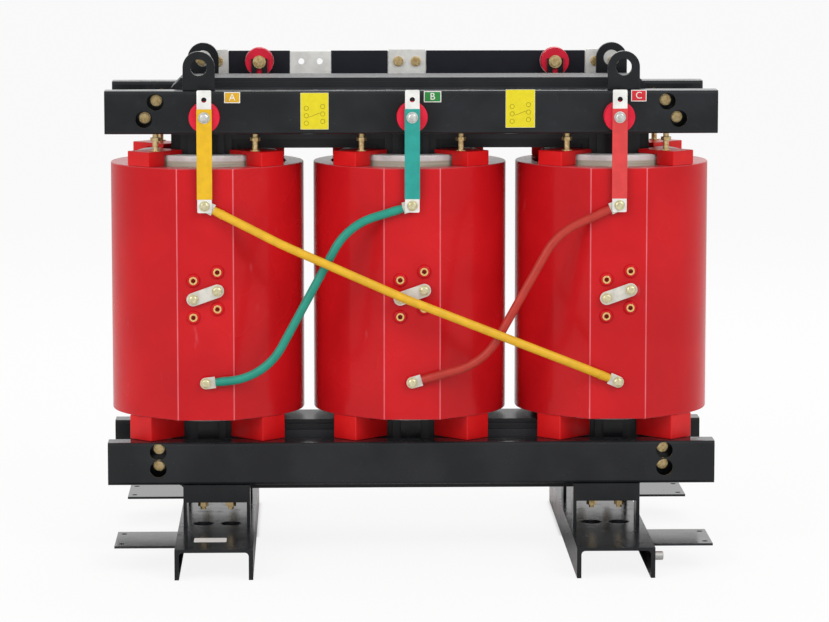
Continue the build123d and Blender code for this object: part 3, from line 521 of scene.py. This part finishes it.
# Post insulators. Waisted crimson resin posts, moulded round a metal insert at either end, and
# bolted to the upper clamps to carry the bars.
post_resin, shade, shader = surface("post_resin", IOR=1.5, Specular_IOR_Level=0.3)
patches = noise(shade, 40, 3)
feed(
    shader,
    Base_Color=patches.between(0.3, 0.7).blend(rgba(206, 20, 48), rgba(218, 28, 58)),
    Roughness=0.18 + 0.1 * patches,
)
for node in ("hv_post_insulators", "lv_post_insulators"):
    broken_edges(node, 0.0012, post_resin, "post_red")

# Fasteners. Hexagon bolts, washers, nuts and jacking screws in yellow passivated zinc, which
# is paler on the terminals, and bright on the posts. Each terminal bolt has a crowned head on
# a flat washer. The inserts that they screw into are turned from brass.
zinc, shade, shader = surface("yellow_zinc", Metallic=0.75)
patches = noise(shade, 160, 3)
feed(
    shader,
    Base_Color=patches.between(0.3, 0.7).blend(rgba(186, 158, 104), rgba(224, 200, 150)),
    Roughness=0.22 + 0.15 * patches,
)
for node in ("pedestal_bolts", "clamp_tie_bolts", "jacking_screws", "neutral_bolts"):
    broken_edges(node, 0.0009, zinc, "yellow_zinc")

post_height = 0.925
pale_zinc, shade, shader = surface("pale_zinc", Metallic=0.6)
patches = noise(shade, 160, 3)
bright = place_of(shade)[2].between(post_height - 0.065, post_height - 0.045)
straw = patches.between(0.3, 0.7).blend(rgba(190, 182, 140), rgba(216, 208, 172))
silver = patches.between(0.3, 0.7).blend(rgba(176, 178, 174), rgba(208, 210, 206))
feed(shader, Base_Color=bright.blend(straw, silver), Roughness=0.24 + 0.15 * patches)
washer_radius = 0.011
washer_thickness = 0.002
head_flats = 0.017
head_height = 0.006
crown_height = 0.001
crown_slope = 0.002
shank_radius = 0.0044
shank_length = 0.010
bpy.ops.object.select_all(action="DESELECT")
bpy.ops.mesh.primitive_cylinder_add(
    vertices=40, radius=washer_radius, depth=washer_thickness, location=(0, 0, washer_thickness / 2)
)
washer = bpy.context.object
bpy.ops.object.transform_apply(location=True, rotation=True, scale=True)
round_edges(washer, 0.0005, 40)
bpy.ops.object.select_all(action="DESELECT")
bpy.ops.mesh.primitive_cylinder_add(
    vertices=6,
    radius=head_flats / sqrt(3),
    depth=head_height - crown_height,
    location=(0, 0, washer_thickness + (head_height - crown_height) / 2),
    rotation=(0, 0, radians(15)),
)
head = bpy.context.object
bpy.ops.object.transform_apply(location=True, rotation=True, scale=True)
round_edges(head, 0.0007, 40)
bpy.ops.object.select_all(action="DESELECT")
bpy.ops.mesh.primitive_cone_add(
    vertices=32,
    radius1=head_flats / 2 - 0.1 * crown_slope,
    radius2=head_flats / 2 - 1.1 * crown_slope,
    depth=1.2 * crown_height,
    location=(0, 0, washer_thickness + head_height - 0.6 * crown_height),
)
crown = bpy.context.object
bpy.ops.object.transform_apply(location=True, rotation=True, scale=True)
bpy.ops.object.select_all(action="DESELECT")
bpy.ops.mesh.primitive_cylinder_add(
    vertices=24, radius=shank_radius, depth=shank_length, location=(0, 0, -shank_length / 2)
)
shank = bpy.context.object
bolt = joined([washer, head, crown, shank])
link_front = -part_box("tap_links")[0].y
lug_front = 0.2225
bar_front = -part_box("hv_bars")[0].y
seats = [
    (0, lug_front, lower_terminal),
    (0, bar_front, upper_terminal),
    (0, bar_front, post_height),
]
for side in (-1, 1):
    seats.append((side * tap_spacing / 2, link_front, tap_middle + side * tap_rise / 2))
bolts = []
for centre in phases.values():
    for turn, (x, depth, z) in enumerate(seats):
        one = bpy.data.objects.new("terminal_bolt", bolt.data.copy())
        bpy.context.scene.collection.objects.link(one)
        one.location = (centre + x, -depth, z)
        one.rotation_euler = (pi / 2, radians(17 * turn), 0)
        bolts.append(one)
bpy.data.objects.remove(bolt)
bolts = joined(bolts)
bolts.name = "terminal_bolts_finished"
smooth(bolts, 30)
settle(bolts, "yellow_zinc", pale_zinc, "terminal_bolts")

brass, shade, shader = surface("turned_brass", Metallic=0.85)
patches = noise(shade, 300, 3)
feed(
    shader,
    Base_Color=patches.blend(rgba(214, 168, 96), rgba(240, 206, 140)),
    Roughness=0.22 + 0.1 * patches,
)
broken_edges("terminal_inserts", 0.0006, brass, "brass")

# Terminals and bars. Copper bar, punched, bent and tin plated to a bright even white metal,
# which handling has dulled on the tap links and cable lugs. The earthing stud is bare steel.
tin, shade, shader = surface("bright_tin", Metallic=0.3, Specular_IOR_Level=0.5)
patches = noise(shade, 40, 4)
feed(
    shader,
    Base_Color=patches.between(0.3, 0.7).blend(rgba(220, 220, 216), rgba(238, 238, 234)),
    Roughness=0.28 + 0.16 * patches,
)
for node in ("hv_bars", "neutral_bar", "neutral_leads", *[f"lv_terminal_{p}" for p in phases]):
    broken_edges(node, 0.0006, tin, "tinned_metal")

worn_tin, shade, shader = surface("worn_tin", Metallic=0.35)
patches = noise(shade, 60, 4)
feed(
    shader,
    Base_Color=patches.between(0.3, 0.7).blend(rgba(196, 192, 182), rgba(216, 213, 204)),
    Roughness=0.3 + 0.2 * patches,
)
for node in ("tap_links", "cable_lugs"):
    broken_edges(node, 0.0007, worn_tin, "tinned_metal")

steel, shade, shader = surface("bare_steel", Metallic=0.9)
patches = noise(shade, 200, 3)
feed(
    shader,
    Base_Color=patches.blend(rgba(150, 150, 148), rgba(190, 190, 186)),
    Roughness=0.3 + 0.2 * patches,
)
dress(steel, "earth_stud")

# Sleeves. Heat-shrunk tube in the colour of each phase, drawn tight over the bars and the
# stiff link rods, and black tube over the neutral bar.
sleeve_colours = {
    "yellow_bar": (rgba(228, 180, 34), "sleeve_yellow", "bar_sleeve_a"),
    "green_bar": (rgba(44, 156, 146), "sleeve_green", "bar_sleeve_b"),
    "red_bar": (rgba(216, 68, 68), "sleeve_red", "bar_sleeve_c"),
    "yellow_rod": (rgba(228, 178, 44), "sleeve_yellow", "delta_link_yellow"),
    "green_rod": (rgba(40, 146, 126), "sleeve_green", "delta_link_green"),
    "red_rod": (rgba(182, 56, 46), "sleeve_red", "delta_link_red"),
    "black_bar": (rgba(22, 24, 33), "sleeve_black", "neutral_sleeves"),
}


def shaded(tone, share):
    """A colour brought down to a share of its light."""
    return (*[value * share for value in tone[:3]], 1.0)


for name, (tone, slot_name, node) in sleeve_colours.items():
    sleeve, shade, shader = surface(f"{name}_sleeve", Specular_IOR_Level=0.25)
    patches = noise(shade, 50, 4)
    feed(
        shader,
        Base_Color=patches.between(0.3, 0.7).blend(shaded(tone, 0.88), tone),
        Roughness=0.3 + 0.15 * patches,
    )
    if name.endswith("rod"):
        dress(sleeve, node)
    else:
        broken_edges(node, 0.0010, sleeve, slot_name)

# Rod ends. The sleeve of each link rod is drawn over the barrel of its cable lug, and grips it
# as a short taper. Each is given by its terminal, the next corner of the rod, and its colour.
rod_depth = 0.221
palm_reach = 0.0200
grip_start = 0.001
grip_length = 0.022
grip_narrow = 0.0083
grip_wide = 0.0096
rod_ends = {
    "yellow": (
        ((-phase_pitch, upper_terminal), (-0.270, -0.252, 0.664)),
        ((phase_pitch, lower_terminal), (0.330, -0.250, 0.415)),
    ),
    "green": (
        ((-phase_pitch, lower_terminal), (-0.306, -0.236, 0.386)),
        ((0, upper_terminal), (-0.134, -0.228, 0.702)),
    ),
    "red": (
        ((0, lower_terminal), (0.149, -0.236, 0.414)),
        ((phase_pitch, upper_terminal), (0.300, -0.232, 0.684)),
    ),
}
for name, ends in rod_ends.items():
    grips = []
    for (x, z), corner in ends:
        palm_run = Vector((corner[0] - x, 0, corner[2] - z)).normalized()
        palm_end = Vector((x, -rod_depth, z)) + palm_run * palm_reach
        barrel_run = (Vector(corner) - palm_end).normalized()
        bpy.ops.object.select_all(action="DESELECT")
        bpy.ops.mesh.primitive_cone_add(
            vertices=48,
            radius1=grip_narrow,
            radius2=grip_wide,
            depth=grip_length,
            location=palm_end + barrel_run * (grip_length / 2 + grip_start),
            rotation=barrel_run.to_track_quat("Z", "Y").to_euler(),
        )
        grip = bpy.context.object
        bpy.ops.object.transform_apply(location=True, rotation=True, scale=True)
        round_edges(grip, 0.0008, 40)
        grips.append(grip)
    grips = joined(grips)
    grips.name = f"{name}_rod_ends"
    smooth(grips, 40)
    settle(grips, f"sleeve_{name}", bpy.data.materials[f"{name}_rod_sleeve"])

# Labels. Thin printed plates stuck on the front upper clamp: one for each phase, with its
# letter and a white border, and two yellow ones that show the tap positions.
label_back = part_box("upper_front_clamp")[0].y
label_thickness = 0.0005
ink_height = 0.0001


def plain(name, tone):
    """A printed ink or film, even in colour with a faint mottle."""
    made, shade, shader = surface(name, Specular_IOR_Level=0.3)
    mottle = noise(shade, 120, 3)
    feed(
        shader,
        Base_Color=mottle.between(0.3, 0.7).blend(shaded(tone, 0.93), tone),
        Roughness=0.35 + 0.1 * mottle,
    )
    return made


white_ink = plain("white_ink", rgba(232, 232, 228))
dark_ink = plain("dark_ink", rgba(96, 88, 30))
label_yellow = plain("label_yellow", rgba(222, 206, 30))


def label(name, low, high, field, border):
    """A thin plate with its low and high corners in X and Z, and a field inside a border."""
    bpy.ops.object.select_all(action="DESELECT")
    bpy.ops.mesh.primitive_plane_add(
        size=1,
        location=((low[0] + high[0]) / 2, label_back, (low[1] + high[1]) / 2),
        rotation=(pi / 2, 0, 0),
    )
    plate = bpy.context.object
    plate.name = name
    plate.scale = (high[0] - low[0], high[1] - low[1], 1)
    bpy.ops.object.transform_apply(location=True, rotation=True, scale=True)
    plate.data.materials.append(white_ink)
    plate.data.materials.append(field)
    bpy.ops.object.mode_set(mode="EDIT")
    bpy.ops.mesh.select_all(action="SELECT")
    bpy.ops.mesh.extrude_region_move(TRANSFORM_OT_translate={"value": (0, -label_thickness, 0)})
    bpy.ops.mesh.inset(thickness=border, depth=0)
    plate.active_material_index = 1
    bpy.ops.object.material_slot_assign()
    bpy.ops.mesh.select_all(action="SELECT")
    bpy.ops.mesh.normals_make_consistent(inside=False)
    bpy.ops.object.mode_set(mode="OBJECT")
    return plate


def letter(text, x, z, size):
    """A printed letter, as a thin mesh on the face of a label."""
    bpy.ops.object.text_add(
        location=(x, label_back - label_thickness - ink_height, z), rotation=(pi / 2, 0, 0)
    )
    made = bpy.context.object
    made.data.body = text
    made.data.size = size
    made.data.align_x = "CENTER"
    made.data.align_y = "CENTER"
    made.data.extrude = ink_height
    bpy.ops.object.convert(target="MESH")
    bpy.ops.object.transform_apply(location=True, rotation=True, scale=True)
    made.data.materials.append(white_ink)
    return made


border_width = 0.0016
letter_height = 0.020
phase_labels = (
    ("A", "yellow", (-0.389, 0.953), (-0.356, 0.976), rgba(216, 168, 30)),
    ("B", "green", (0.025, 0.954), (0.061, 0.977), rgba(40, 132, 60)),
    ("C", "red", (0.456, 0.955), (0.488, 0.979), rgba(206, 44, 52)),
)
for text, colour, low, high, tone in phase_labels:
    field = plain(f"label_{colour}_field", tone)
    plate = label(f"phase_label_{text.lower()}", low, high, field, border_width)
    word = letter(text, (low[0] + high[0]) / 2, (low[1] + high[1]) / 2, letter_height)
    settle(joined([plate, word]), f"sleeve_{colour}", None)

diagram_border = 0.0004
ring_radius = 0.0045
line_radius = 0.0004
line_length = 0.024
diagrams = (((-0.231, 0.898), (-0.173, 0.974)), ((0.195, 0.901), (0.256, 0.980)))
for number, (low, high) in enumerate(diagrams):
    plate = label(f"tap_diagram_{number + 1}", low, high, label_yellow, diagram_border)
    parts = [plate]
    middle = (low[0] + high[0]) / 2
    for side in (-1, 1):
        for row in range(3):
            bpy.ops.mesh.primitive_torus_add(
                major_segments=24,
                minor_segments=4,
                major_radius=ring_radius,
                minor_radius=line_radius,
                location=(
                    middle + side * 0.017,
                    label_back - label_thickness,
                    low[1] + 0.013 + row * 0.0155 + (side + 1) * 0.0018,
                ),
                rotation=(pi / 2, 0, 0),
            )
            bpy.context.object.data.materials.append(dark_ink)
            parts.append(bpy.context.object)
    bpy.ops.mesh.primitive_cylinder_add(
        vertices=6,
        radius=line_radius,
        depth=line_length,
        location=(middle, label_back - label_thickness, low[1] + 0.030),
        rotation=(0, radians(68), 0),
    )
    bpy.context.object.data.materials.append(dark_ink)
    parts.append(bpy.context.object)
    settle(joined(parts), "sleeve_yellow", None)

# Sticker. A bare white paper sticker with round corners, stuck on the web of the left skid,
# near its front end.
skid_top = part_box("left_skid")[1].z
bpy.ops.object.select_all(action="DESELECT")
bpy.ops.mesh.primitive_plane_add(size=1, location=(-0.4195, -0.3445, skid_top))
sticker = bpy.context.object
sticker.name = "skid_sticker"
sticker.scale = (0.067, 0.045, 1)
bpy.ops.object.transform_apply(location=True, rotation=True, scale=True)
bpy.ops.object.mode_set(mode="EDIT")
bpy.ops.mesh.select_all(action="SELECT")
bpy.ops.mesh.bevel(offset=0.003, segments=3, affect="VERTICES")
bpy.ops.mesh.select_all(action="SELECT")
bpy.ops.mesh.extrude_region_move(TRANSFORM_OT_translate={"value": (0, 0, 0.0003)})
bpy.ops.mesh.select_all(action="SELECT")
bpy.ops.mesh.normals_make_consistent(inside=False)
bpy.ops.object.mode_set(mode="OBJECT")
settle(sticker, "winding_resin", white_ink)
